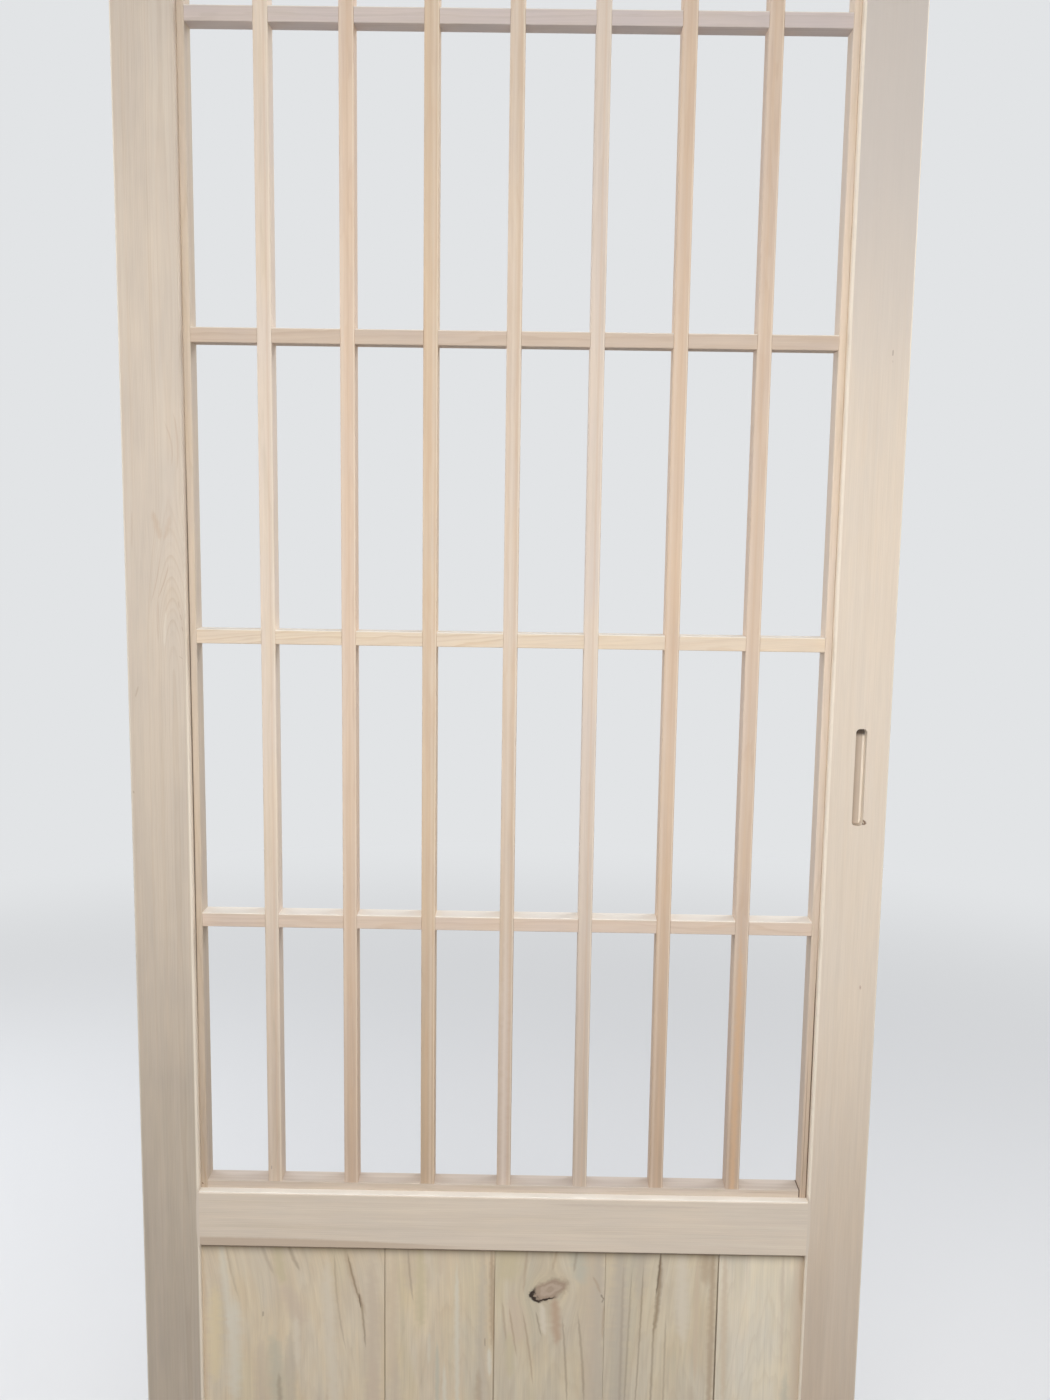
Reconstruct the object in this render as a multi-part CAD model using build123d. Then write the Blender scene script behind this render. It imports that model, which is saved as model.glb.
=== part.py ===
from build123d import *
import os

# Sliding screen leaf in raw softwood, in millimetres.
# X runs across the leaf, -Y is the side it is seen from, Z is up.
# The origin is at the middle of the bottom edge, half way through the thickness.

# Leaf
leaf_width = 820.0
leaf_thickness = 36.0
stile_width = 64.5
top_rail_height = 58.0
mid_rail_height = 65.5
bottom_rail_height = 90.0
panel_clear_height = 306.5
frame_arris = 1.5

# Tongue along the head, which runs in the groove of a head track
head_tongue_height = 15.0
head_tongue_thickness = 20.0

# Mortises and tenons between the rails and the stiles
tenon_thickness = 12.0
wood_beyond_mortise = 18.5
tenon_end_gap = 1.0
tenon_shoulder_beyond_groove = 1.0
double_tenon_space = 12.0

# Lattice
lattice_rows = 5
upright_bar_count = 7
cell_clear_height = 300.0
end_column_share = 0.97
lattice_set_back = 11.0
lattice_back_step = 1.0
upright_bar_face = 15.5
cross_bar_face = 15.5
bar_arris = 0.6
halving_share = 0.5

# Thin frame round the lattice, and the stub tenons that the bars enter it with
side_strip_face = 8.0
end_strip_face = 9.0
strip_mortise_web = 2.0
stub_end_gap = 0.3
stub_side_shoulder = 4.0
stub_face_shoulder = 5.0

# Panel of tongued and grooved boards, let into the frame
panel_set_back = 7.0
board_thickness = 9.0
panel_groove_depth = 8.0
panel_float = 0.5
board_shares = [0.305, 0.183, 0.1835, 0.1875, 0.141]
board_joint_gaps = [0.4, 0.2, 0.2, 1.0]
board_arris = 0.3
board_tongue_thickness = 3.0
board_tongue_length = 4.0
board_tongue_end_gap = 0.5

# Finger recess, cut into both faces of the right stile
recess_width = 12.0
recess_height = 106.5
recess_depth = 12.0
recess_corner_radius = 4.5
recess_from_leaf_edge = 31.0
recess_centre_above_mid_rail = 490.5

# Edges this near to a plane are taken to lie in it
same_plane = 0.01

# Planes that the pieces share
half_width = leaf_width / 2
front = -leaf_thickness / 2
back = leaf_thickness / 2
opening_half = half_width - stile_width

lattice_height = (
    2 * end_strip_face
    + lattice_rows * cell_clear_height
    + (lattice_rows - 1) * cross_bar_face
)
bottom_rail_top = bottom_rail_height
mid_rail_bottom = bottom_rail_top + panel_clear_height
mid_rail_top = mid_rail_bottom + mid_rail_height
top_rail_bottom = mid_rail_top + lattice_height
leaf_height = top_rail_bottom + top_rail_height
tongue_bottom = leaf_height - head_tongue_height

lattice_front = front + lattice_set_back
lattice_back = back - lattice_back_step
halving_plane = lattice_front + halving_share * (lattice_back - lattice_front)
lattice_half = opening_half - side_strip_face
lattice_bottom = mid_rail_top + end_strip_face
lattice_top = top_rail_bottom - end_strip_face

panel_front = front + panel_set_back
panel_back = panel_front + board_thickness
tongue_front = (panel_front + panel_back - board_tongue_thickness) / 2
tongue_back = tongue_front + board_tongue_thickness
tenon_shoulder = panel_groove_depth + tenon_shoulder_beyond_groove
mortise_end = half_width - wood_beyond_mortise
tenon_end = mortise_end - tenon_end_gap


def block(x, y, z):
    """A box between two planes along each axis."""
    size = [high - low for low, high in (x, y, z)]
    middle = [(high + low) / 2 for low, high in (x, y, z)]
    return Pos(*middle) * Box(*size)


def eased(piece, run, arris, *sides):
    """Ease the edges that run along an axis and lie on the given sides of the piece."""
    edges = piece.edges().filter_by(run)
    for axis, value in sides:
        edges = edges.filter_by_position(axis, value - same_plane, value + same_plane)
    return chamfer(edges, arris)


def arris_cut(x, y, z, arris):
    """A square bar on its corner, which eases an upright edge between two heights."""
    side = arris * 2**0.5
    length = z[1] - z[0]
    return Pos(x, y, (z[0] + z[1]) / 2) * Rot(0, 0, 45) * Box(side, side, length)


def mirrored(x, side):
    """The span x on the left side (-1) or the right side (1) of the leaf."""
    return x if side > 0 else (-x[1], -x[0])


def tenon_heights():
    """The low and high plane of every tenon, from the bottom rail up."""
    single_mid = (mid_rail_bottom + tenon_shoulder, mid_rail_top - tenon_shoulder)
    single_top = (top_rail_bottom + tenon_shoulder, tongue_bottom - tenon_shoulder)
    low, high = tenon_shoulder, bottom_rail_top - tenon_shoulder
    half = (high - low - double_tenon_space) / 2
    return {
        "bottom_rail": [(low, low + half), (high - half, high)],
        "mid_rail": [single_mid],
        "top_rail": [single_top],
    }


def head_rebates():
    """What is cut from both faces along the head, so that the tongue stands between."""
    x = (-half_width - 1, half_width + 1)
    z = (tongue_bottom, leaf_height + 1)
    half = head_tongue_thickness / 2
    return [block(x, (front - 1, -half), z), block(x, (half, back + 1), z)]


def finger_recess(face):
    """Blind slot with rounded corners, cut from the front (-1) or back (1) face."""
    centre_x = half_width - recess_from_leaf_edge
    centre_z = mid_rail_top + recess_centre_above_mid_rail
    outline = RectangleRounded(recess_width, recess_height, recess_corner_radius)
    floor = Plane(
        origin=(centre_x, face * (back - recess_depth), centre_z),
        x_dir=(1, 0, 0),
        z_dir=(0, face, 0),
    )
    return extrude(floor * outline, recess_depth + 1)


def stile(side):
    """Upright of the frame, mortised for the rails and grooved for the panel."""
    piece = block(mirrored((opening_half, half_width), side), (front, back), (0, leaf_height))
    piece = eased(piece, Axis.Z, frame_arris, (Axis.X, side * half_width))
    for z in ((bottom_rail_top, mid_rail_bottom), (mid_rail_top, top_rail_bottom)):
        for face in (front, back):
            piece -= arris_cut(side * opening_half, face, z, frame_arris)
    half = tenon_thickness / 2
    mortise = mirrored((opening_half - 1, mortise_end), side)
    for heights in tenon_heights().values():
        for z in heights:
            piece -= block(mortise, (-half, half), z)
    groove = mirrored((opening_half - 1, opening_half + panel_groove_depth), side)
    groove_z = (bottom_rail_top - panel_groove_depth, mid_rail_bottom + panel_groove_depth)
    piece -= block(groove, (panel_front, panel_back), groove_z)
    for rebate in head_rebates():
        piece -= rebate
    if side > 0:
        piece -= finger_recess(-1)
        piece -= finger_recess(1)
    return piece


def rail(z, eased_heights, tenons):
    """Cross member between the stiles, with its tenons."""
    piece = block((-opening_half, opening_half), (front, back), z)
    for height in eased_heights:
        piece = eased(piece, Axis.X, frame_arris, (Axis.Z, height))
    half = tenon_thickness / 2
    for heights in tenons:
        for side in (-1, 1):
            piece += block(mirrored((opening_half, tenon_end), side), (-half, half), heights)
    return piece


def rails():
    tenons = tenon_heights()
    run = (-opening_half, opening_half)
    slot = (panel_front, panel_back)
    bottom = rail((0, bottom_rail_top), [bottom_rail_top], tenons["bottom_rail"])
    bottom -= block(run, slot, (bottom_rail_top - panel_groove_depth, bottom_rail_top + 1))
    mid = rail((mid_rail_bottom, mid_rail_top), [mid_rail_bottom, mid_rail_top], tenons["mid_rail"])
    mid -= block(run, slot, (mid_rail_bottom - 1, mid_rail_bottom + panel_groove_depth))
    top = rail((top_rail_bottom, leaf_height), [top_rail_bottom], tenons["top_rail"])
    for rebate in head_rebates():
        top -= rebate
    return {"bottom_rail": bottom, "mid_rail": mid, "top_rail": top}


def upright_bar_centres():
    """Inner columns are equal, and the two end columns a little narrower."""
    inner_columns = upright_bar_count - 1
    free = 2 * lattice_half - upright_bar_count * upright_bar_face
    column = free / (inner_columns + 2 * end_column_share)
    pitch = column + upright_bar_face
    return [(k - inner_columns / 2) * pitch for k in range(upright_bar_count)]


def cross_bar_centres():
    """Every cell has the same clear height."""
    pitch = cell_clear_height + cross_bar_face
    first = lattice_bottom + cell_clear_height + cross_bar_face / 2
    return [first + k * pitch for k in range(lattice_rows - 1)]


def span(centre, width):
    return (centre - width / 2, centre + width / 2)


stub_depth = (lattice_front + stub_face_shoulder, lattice_back - stub_face_shoulder)
upright_stub_length = end_strip_face - strip_mortise_web
cross_stub_length = side_strip_face - strip_mortise_web


def upright_bar(centre):
    """Runs unbroken in front, and is halved behind over each cross bar."""
    x = span(centre, upright_bar_face)
    piece = block(x, (lattice_front, lattice_back), (lattice_bottom, lattice_top))
    piece = eased(piece, Axis.Z, bar_arris)
    for height in cross_bar_centres():
        piece -= block(x, (halving_plane, lattice_back), span(height, cross_bar_face))
    stub_x = span(centre, upright_bar_face - 2 * stub_side_shoulder)
    length = upright_stub_length - stub_end_gap
    piece += block(stub_x, stub_depth, (lattice_bottom - length, lattice_bottom))
    piece += block(stub_x, stub_depth, (lattice_top, lattice_top + length))
    return piece


def cross_bar(height):
    """Halved in front for every upright bar."""
    z = span(height, cross_bar_face)
    piece = block((-lattice_half, lattice_half), (lattice_front, lattice_back), z)
    piece = eased(piece, Axis.X, bar_arris)
    for centre in upright_bar_centres():
        piece -= block(span(centre, upright_bar_face), (lattice_front, halving_plane), z)
    stub_z = span(height, cross_bar_face - 2 * stub_side_shoulder)
    length = cross_stub_length - stub_end_gap
    piece += block((-lattice_half - length, -lattice_half), stub_depth, stub_z)
    piece += block((lattice_half, lattice_half + length), stub_depth, stub_z)
    return piece


def side_strip(side):
    """Strip of the thin frame along a stile, from rail to rail."""
    x = mirrored((lattice_half, opening_half), side)
    piece = block(x, (lattice_front, lattice_back), (mid_rail_top, top_rail_bottom))
    piece = eased(piece, Axis.Z, bar_arris)
    mortise = mirrored((lattice_half, lattice_half + cross_stub_length), side)
    for height in cross_bar_centres():
        stub_z = span(height, cross_bar_face - 2 * stub_side_shoulder)
        piece -= block(mortise, stub_depth, stub_z)
    return piece


def end_strip(z, mortise):
    """Strip of the thin frame along a rail, between the side strips."""
    piece = block((-lattice_half, lattice_half), (lattice_front, lattice_back), z)
    piece = eased(piece, Axis.X, bar_arris)
    for centre in upright_bar_centres():
        stub_x = span(centre, upright_bar_face - 2 * stub_side_shoulder)
        piece -= block(stub_x, stub_depth, mortise)
    return piece


def panel_board(index, left, right):
    """Board of the panel: grooved on its left edge and tongued on its right edge."""
    in_groove = panel_groove_depth - panel_float
    first = index == 0
    last = index == len(board_shares) - 1
    x0 = left - in_groove if first else left + board_joint_gaps[index - 1] / 2
    x1 = right + in_groove if last else right - board_joint_gaps[index] / 2
    z = (bottom_rail_top - in_groove, mid_rail_bottom + in_groove)
    piece = block((x0, x1), (panel_front, panel_back), z)
    if not first:
        piece = eased(piece, Axis.Z, board_arris, (Axis.X, x0))
        depth = board_tongue_length + board_tongue_end_gap
        piece -= block((x0, x0 + depth), (tongue_front, tongue_back), z)
    if not last:
        piece = eased(piece, Axis.Z, board_arris, (Axis.X, x1))
        tip = x1 + board_joint_gaps[index] + board_tongue_length
        piece += block((x1, tip), (tongue_front, tongue_back), z)
    return piece


def panel_boards():
    boards = {}
    left = -opening_half
    for index, share in enumerate(board_shares):
        right = left + share / sum(board_shares) * 2 * opening_half
        boards[f"panel_board_{index + 1}"] = panel_board(index, left, right)
        left = right
    return boards


def screen():
    nodes = {"left_stile": stile(-1), "right_stile": stile(1)}
    nodes.update(rails())
    nodes["lattice_frame_left"] = side_strip(-1)
    nodes["lattice_frame_right"] = side_strip(1)
    nodes["lattice_frame_bottom"] = end_strip(
        (mid_rail_top, lattice_bottom),
        (lattice_bottom - upright_stub_length, lattice_bottom),
    )
    nodes["lattice_frame_top"] = end_strip(
        (lattice_top, top_rail_bottom),
        (lattice_top, lattice_top + upright_stub_length),
    )
    for index, centre in enumerate(upright_bar_centres()):
        nodes[f"upright_bar_{index + 1}"] = upright_bar(centre)
    for index, height in enumerate(cross_bar_centres()):
        nodes[f"cross_bar_{index + 1}"] = cross_bar(height)
    nodes.update(panel_boards())
    return nodes


os.makedirs("parts", exist_ok=True)
for name, piece in screen().items():
    export_step(piece, f"parts/{name}.step")
print("leaf", leaf_width, "x", leaf_thickness, "x", leaf_height)
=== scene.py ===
import math
import bpy
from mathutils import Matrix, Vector


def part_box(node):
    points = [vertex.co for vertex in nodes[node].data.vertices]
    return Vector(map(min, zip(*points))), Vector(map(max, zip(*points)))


bpy.context.scene.view_settings.view_transform = "Standard"
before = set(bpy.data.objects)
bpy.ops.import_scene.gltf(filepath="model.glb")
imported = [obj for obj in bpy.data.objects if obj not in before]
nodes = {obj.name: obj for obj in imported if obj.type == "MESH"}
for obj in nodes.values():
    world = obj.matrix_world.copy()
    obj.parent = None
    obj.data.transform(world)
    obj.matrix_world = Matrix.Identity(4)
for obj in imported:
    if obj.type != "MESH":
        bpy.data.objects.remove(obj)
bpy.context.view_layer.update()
print("frame loaded:", len(nodes), "nodes")


# small helpers for shader nodes

def linear(colour):
    # from a colour as it looks on screen, 0 to 255, to what a shader socket takes
    parts = [c / 255 for c in colour]
    return tuple(c / 12.92 if c <= 0.04045 else ((c + 0.055) / 1.055) ** 2.4 for c in parts) + (1.0,)


def feed(tree, socket, value):
    if isinstance(value, bpy.types.NodeSocket):
        tree.links.new(value, socket)
    else:
        socket.default_value = value


def addNode(tree, kind, inputs=None, **settings):
    node = tree.nodes.new("ShaderNode" + kind)
    for name, value in settings.items():
        setattr(node, name, value)
    for name, value in (inputs or {}).items():
        feed(tree, node.inputs[name], value)
    return node


def maths(tree, operation, *values, clamp=False):
    return addNode(tree, "Math", dict(enumerate(values)), operation=operation, use_clamp=clamp).outputs[0]


def plus(tree, *values):
    total = values[0]
    for value in values[1:]:
        total = maths(tree, "ADD", total, value)
    return total


def minus(tree, first, second):
    return maths(tree, "SUBTRACT", first, second)


def times(tree, *values):
    total = values[0]
    for value in values[1:]:
        total = maths(tree, "MULTIPLY", total, value)
    return total


def ease(tree, value, low, high, start=0.0, end=1.0):
    # start below low, end above high, and a smooth step between
    places = {"Value": value, "From Min": low, "From Max": high, "To Min": start, "To Max": end}
    return addNode(tree, "MapRange", places, interpolation_type="SMOOTHSTEP").outputs[0]


def noiseAlong(tree, value, scale, detail):
    sockets = {"W": value, "Scale": scale, "Detail": detail}
    return addNode(tree, "TexNoise", sockets, noise_dimensions="1D").outputs["Fac"]


def blend(tree, factor, first, second, mode="MIX"):
    # sockets 6 and 7 and output 2 are the Mix node's colour ones
    node = addNode(tree, "Mix", {0: factor, 6: first, 7: second}, data_type="RGBA", blend_type=mode)
    return node.outputs[2]


def join(tree, x, y, z):
    return addNode(tree, "CombineXYZ", {0: x, 1: y, 2: z}).outputs[0]


def split(tree, vector):
    return addNode(tree, "SeparateXYZ", {0: vector}).outputs


def newGroup(name, inputs, outputs):
    tree = bpy.data.node_groups.new(name, "ShaderNodeTree")
    for label, value in inputs.items():
        kind = "Vector" if value == "vector" else "Float"
        socket = tree.interface.new_socket(name=label, in_out="INPUT", socket_type="NodeSocket" + kind)
        if kind == "Float":
            socket.default_value = value
    for label in outputs:
        tree.interface.new_socket(name=label, in_out="OUTPUT", socket_type="NodeSocketFloat")
    return tree, tree.nodes.new("NodeGroupInput").outputs, tree.nodes.new("NodeGroupOutput").inputs


def useGroup(tree, group, inputs):
    node = tree.nodes.new("ShaderNodeGroup")
    node.node_tree = group
    for label, value in inputs.items():
        feed(tree, node.inputs[label], value)
    return node.outputs


# camera, where the photograph was taken from

photoView = {
    "place": (0.02597, -1.40242, 1.22639),
    "turn": (81.995, -0.816, 0.494),    # degrees
    "lens": 33.52,                      # mm, for a sensor 36 mm high
}

camera = bpy.data.objects.new("camera", bpy.data.cameras.new("camera"))
bpy.context.scene.collection.objects.link(camera)
camera.location = photoView["place"]
camera.rotation_euler = [math.radians(a) for a in photoView["turn"]]
camera.data.lens = photoView["lens"]
camera.data.sensor_width = 36
camera.data.clip_start = 0.02
bpy.context.scene.camera = camera
print("camera placed")


# studio: pale floor, plain background, soft lamps

studio = {
    "background": (226, 228, 230),
    "floorColour": (230, 230, 229),
    "floorBounce": (116, 115, 113),     # what the floor throws back at the leaf
    "floorFade": (0.9, 3.4),            # m from the leaf, where the floor turns into the background
    "floorSize": 60.0,
    "skyTop": (250, 251, 255),
    "skySide": (150, 150, 151),
    "skyStrength": 0.45,
    "lamps": {
        # place, aim, size, watts, colour
        "frontLamp": ((0.0, -1.6, 1.25), (0.0, 0.0, 1.15), (1.2, 0.7), 13, (255, 252, 248)),
        "leftLamp": ((-1.0, -1.5, 1.3), (0.0, 0.0, 1.1), (0.9, 0.9), 4, (255, 252, 248)),
        "rightLamp": ((1.0, -1.5, 1.15), (0.0, 0.0, 1.0), (0.9, 0.7), 6.5, (255, 252, 248)),
        "highLeftLamp": ((-1.6, -0.15, 2.4), (0.0, 0.0, 1.6), (0.8, 0.8), 8, (246, 249, 255)),
        "highRightLamp": ((1.6, -0.1, 2.4), (0.0, 0.0, 1.6), (0.8, 0.8), 5, (246, 249, 255)),
        "topLamp": ((0.0, 0.0, 3.6), (0.0, 0.05, 1.0), (2.0, 0.6), 13, (246, 249, 255)),
        "backLeftLamp": ((-2.0, 1.3, 1.4), (0.1, 0.0, 1.0), (1.0, 1.0), 22, (244, 248, 255)),
        "backRightLamp": ((2.1, 1.1, 2.3), (-0.1, 0.0, 1.6), (1.0, 1.0), 28, (244, 248, 255)),
    },
}


def addLamp(name, place, aim, size, watts, colour):
    data = bpy.data.lights.new(name, "AREA")
    data.shape = "RECTANGLE"
    data.size, data.size_y = size
    data.energy = watts
    data.color = linear(colour)[:3]
    lamp = bpy.data.objects.new(name, data)
    lamp.location = place
    lamp.rotation_euler = (Vector(aim) - Vector(place)).to_track_quat("-Z", "Y").to_euler()
    lamp.visible_camera = False
    bpy.context.scene.collection.objects.link(lamp)


def raysThatSee(tree):
    # 1 for camera, glossy and transmission rays, which see the plain background
    ray = addNode(tree, "LightPath").outputs
    both = plus(tree, ray["Is Camera Ray"], ray["Is Glossy Ray"])
    return maths(tree, "ADD", both, ray["Is Transmission Ray"], clamp=True)


def addSky(look):
    world = bpy.data.worlds.new("studio")
    bpy.context.scene.world = world
    world.use_nodes = True
    tree = world.node_tree
    tree.nodes.clear()
    up = split(tree, addNode(tree, "TexCoord").outputs["Generated"])["Z"]
    sky = blend(tree, ease(tree, up, -0.1, 0.9), linear(look["skySide"]), linear(look["skyTop"]))
    light = addNode(tree, "Background", {"Color": sky, "Strength": look["skyStrength"]})
    plain = addNode(tree, "Background", {"Color": linear(look["background"]), "Strength": 1.0})
    both = addNode(tree, "MixShader", {0: raysThatSee(tree), 1: light.outputs[0], 2: plain.outputs[0]})
    addNode(tree, "OutputWorld", {"Surface": both.outputs[0]})


def addFloor(look):
    half = look["floorSize"] / 2
    mesh = bpy.data.meshes.new("floor")
    corners = [(-half, -half, 0), (half, -half, 0), (half, half, 0), (-half, half, 0)]
    mesh.from_pydata(corners, [], [(0, 1, 2, 3)])
    floor = bpy.data.objects.new("floor", mesh)
    bpy.context.scene.collection.objects.link(floor)
    material = bpy.data.materials.new("floorPaint")
    material.use_nodes = True
    tree = material.node_tree
    tree.nodes.clear()
    seen = raysThatSee(tree)
    paint = blend(tree, seen, linear(look["floorBounce"]), linear(look["floorColour"]))
    matt = addNode(tree, "BsdfDiffuse", {"Color": paint})
    glow = addNode(tree, "Emission", {"Color": linear(look["background"]), "Strength": 1.0})
    place = addNode(tree, "TexCoord").outputs["Object"]
    distance = addNode(tree, "VectorMath", {0: place}, operation="LENGTH").outputs["Value"]
    far = times(tree, ease(tree, distance, *look["floorFade"]), seen)
    both = addNode(tree, "MixShader", {0: far, 1: matt.outputs[0], 2: glow.outputs[0]})
    addNode(tree, "OutputMaterial", {"Surface": both.outputs[0]})
    mesh.materials.append(material)


for name, lamp in studio["lamps"].items():
    addLamp(name, *lamp)
addSky(studio)
addFloor(studio)
print("studio lit")


# wood effects that the materials share

def buildDrawnNoise():
    # noise drawn out along the grain: position is across, depth and along, in metres
    inputs = {"Position": "vector", "Width": 0.001, "Drawn Out": 40.0, "Detail": 2.0, "Seed": 0.0}
    tree, given, put = newGroup("drawnNoise", inputs, ["Tone"])
    across = maths(tree, "DIVIDE", 1.0, given["Width"])
    along = maths(tree, "DIVIDE", across, given["Drawn Out"])
    scale = join(tree, across, across, along)
    place = addNode(tree, "VectorMath", {0: given["Position"], 1: scale}, operation="MULTIPLY").outputs[0]
    apart = join(tree, given["Seed"], given["Seed"], 0.0)      # no two pieces are alike
    place = addNode(tree, "VectorMath", {0: place, 1: apart}).outputs[0]
    tone = addNode(tree, "TexNoise", {
        "Vector": place, "Scale": 1.0, "Detail": given["Detail"], "Roughness": 0.55,
    }).outputs["Fac"]
    tree.links.new(ease(tree, tone, 0.22, 0.78), put["Tone"])
    return tree


def buildGrowthRings():
    # rings about a pith that wanders along the piece: straight lines, arches and end grain alike
    inputs = {
        "Position": "vector",
        "Pith Across": 0.0,
        "Pith Depth": 0.05,
        "Ring Width": 0.002,
        "Rise": 0.0,            # how much the pith sinks from the face over the rise
        "Rise Length": 0.3,
        "Rise Centre": 0.0,
        "Wander": 0.004,
        "Ripple": 0.5,
        "Seed": 0.0,
    }
    tree, given, put = newGroup("growthRings", inputs, ["Late Wood", "Ring Tone"])
    at = split(tree, given["Position"])
    reach = times(tree, given["Rise Length"], 0.5)
    low, high = minus(tree, given["Rise Centre"], reach), plus(tree, given["Rise Centre"], reach)
    rise = times(tree, ease(tree, at["Z"], low, high, -0.5, 0.5), given["Rise"])
    sway = addNode(tree, "TexNoise", {
        "W": plus(tree, at["Z"], given["Seed"]), "Scale": 2.4, "Detail": 2.0,
    }, noise_dimensions="1D")
    sway = addNode(tree, "SeparateColor", {0: sway.outputs["Color"]}).outputs
    swayAcross = times(tree, minus(tree, sway[0], 0.5), given["Wander"])
    swayDepth = times(tree, minus(tree, sway[1], 0.5), given["Wander"])
    across = plus(tree, minus(tree, at["X"], given["Pith Across"]), swayAcross)
    depth = plus(tree, minus(tree, given["Pith Depth"], at["Y"]), rise, swayDepth)
    radius = addNode(tree, "VectorMath", {0: join(tree, across, depth, 0.0)}, operation="LENGTH")
    growth = maths(tree, "DIVIDE", radius.outputs["Value"], given["Ring Width"])
    ripple = useGroup(tree, drawnNoise, {
        "Position": given["Position"],
        "Width": 0.018,
        "Drawn Out": 8.0,
        "Detail": 3.0,
        "Seed": given["Seed"],
    })["Tone"]
    growth = plus(tree, growth, times(tree, minus(tree, ripple, 0.5), given["Ripple"]))
    part = maths(tree, "FRACT", growth)
    dark = times(tree, ease(tree, part, 0.4, 0.86), ease(tree, part, 0.88, 1.0, 1.0, 0.0))
    year = addNode(tree, "TexWhiteNoise", {"W": maths(tree, "FLOOR", growth)}, noise_dimensions="1D")
    strength = ease(tree, year.outputs["Value"], 0.0, 1.0, 0.3, 1.0)    # some years are fainter
    tree.links.new(times(tree, dark, strength), put["Late Wood"])
    toned = noiseAlong(tree, plus(tree, growth, given["Seed"]), 0.31, 2.0)
    tree.links.new(ease(tree, toned, 0.25, 0.75), put["Ring Tone"])
    return tree


def buildTaperedStreak():
    # one streak that follows the grain and tapers to both ends
    inputs = {
        "Across": 0.0,
        "Along": 0.0,
        "Centre Across": 0.0,
        "Centre Along": 0.0,
        "Half Length": 0.05,
        "Half Width": 0.002,
        "Lean": 0.0,
        "Bow": 0.0,
        "Softness": 1.0,
        "Raggedness": 0.4,
        "End Fade": 0.8,        # the part of its length over which it fades out
    }
    tree, given, put = newGroup("taperedStreak", inputs, ["Mask"])
    run = minus(tree, given["Along"], given["Centre Along"])
    share = maths(tree, "DIVIDE", run, given["Half Length"])
    square = times(tree, share, share)
    middle = maths(tree, "MULTIPLY_ADD", run, given["Lean"], given["Centre Across"])
    middle = maths(tree, "MULTIPLY_ADD", square, given["Bow"], middle)
    wobble = minus(tree, noiseAlong(tree, given["Along"], 120.0, 3.0), 0.5)
    middle = plus(tree, middle, times(tree, wobble, given["Half Width"], given["Raggedness"]))
    away = maths(tree, "ABSOLUTE", minus(tree, given["Across"], middle))
    taper = ease(tree, square, 0.0, 1.0, 1.0, 0.0)
    room = times(tree, given["Half Width"], maths(tree, "MULTIPLY_ADD", taper, 0.85, 0.15))
    inner = minus(tree, 1.0, given["Softness"])
    inside = ease(tree, maths(tree, "DIVIDE", away, room), inner, 1.0, 1.0, 0.0)
    tree.links.new(times(tree, inside, ease(tree, taper, 0.0, given["End Fade"])), put["Mask"])
    return tree


def buildKnot():
    # a sound knot, and how far it pushes the grain aside
    inputs = {
        "Across": 0.0,
        "Along": 0.0,
        "Centre Across": 0.0,
        "Centre Along": 0.0,
        "Half Width": 0.02,
        "Half Height": 0.01,
        "Turn": 0.4,
        "Push": 0.02,
    }
    tree, given, put = newGroup("knot", inputs, ["Heart", "Rim", "Dark End", "Rings", "Bend"])
    x = minus(tree, given["Across"], given["Centre Across"])
    z = minus(tree, given["Along"], given["Centre Along"])
    cosine, sine = maths(tree, "COSINE", given["Turn"]), maths(tree, "SINE", given["Turn"])
    u = maths(tree, "DIVIDE", plus(tree, times(tree, x, cosine), times(tree, z, sine)), given["Half Width"])
    v = minus(tree, times(tree, z, cosine), times(tree, x, sine))
    v = maths(tree, "DIVIDE", v, given["Half Height"])
    reach = addNode(tree, "VectorMath", {0: join(tree, u, v, 0.0)}, operation="LENGTH").outputs["Value"]
    rough = addNode(tree, "TexNoise", {
        "Vector": join(tree, given["Across"], given["Along"], 0.0), "Scale": 130.0, "Detail": 3.0,
    }).outputs["Fac"]
    reach = plus(tree, reach, times(tree, minus(tree, rough, 0.5), 0.8))
    tree.links.new(ease(tree, reach, 0.75, 1.1, 1.0, 0.0), put["Heart"])
    rim = times(tree, ease(tree, reach, 0.55, 0.95), ease(tree, reach, 0.95, 1.35, 1.0, 0.0))
    tree.links.new(rim, put["Rim"])
    # bark at one end, running out along the foot
    end = times(tree, ease(tree, reach, 0.80, 0.92), ease(tree, reach, 1.08, 1.22, 1.0, 0.0))
    end = times(tree, end, ease(tree, u, -0.85, -0.5, 1.0, 0.0))
    foot = times(tree, ease(tree, reach, 0.78, 0.88), ease(tree, reach, 0.98, 1.1, 1.0, 0.0))
    foot = times(tree, foot, ease(tree, v, -0.7, -0.4, 1.0, 0.0), ease(tree, u, -0.1, 0.25, 1.0, 0.0))
    tree.links.new(maths(tree, "MAXIMUM", end, foot), put["Dark End"])
    tree.links.new(ease(tree, maths(tree, "SINE", times(tree, reach, 11.0)), -1.0, 1.0), put["Rings"])
    square = plus(tree, times(tree, x, x), times(tree, z, z))
    pushed = times(tree, given["Push"], given["Push"])
    share = maths(tree, "DIVIDE", pushed, plus(tree, square, times(tree, pushed, 0.35)))
    tree.links.new(times(tree, x, share), put["Bend"])
    return tree


drawnNoise = buildDrawnNoise()
growthRings = buildGrowthRings()
taperedStreak = buildTaperedStreak()
knotGroup = buildKnot()
print("wood effects built")


# one wood material for each piece

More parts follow.
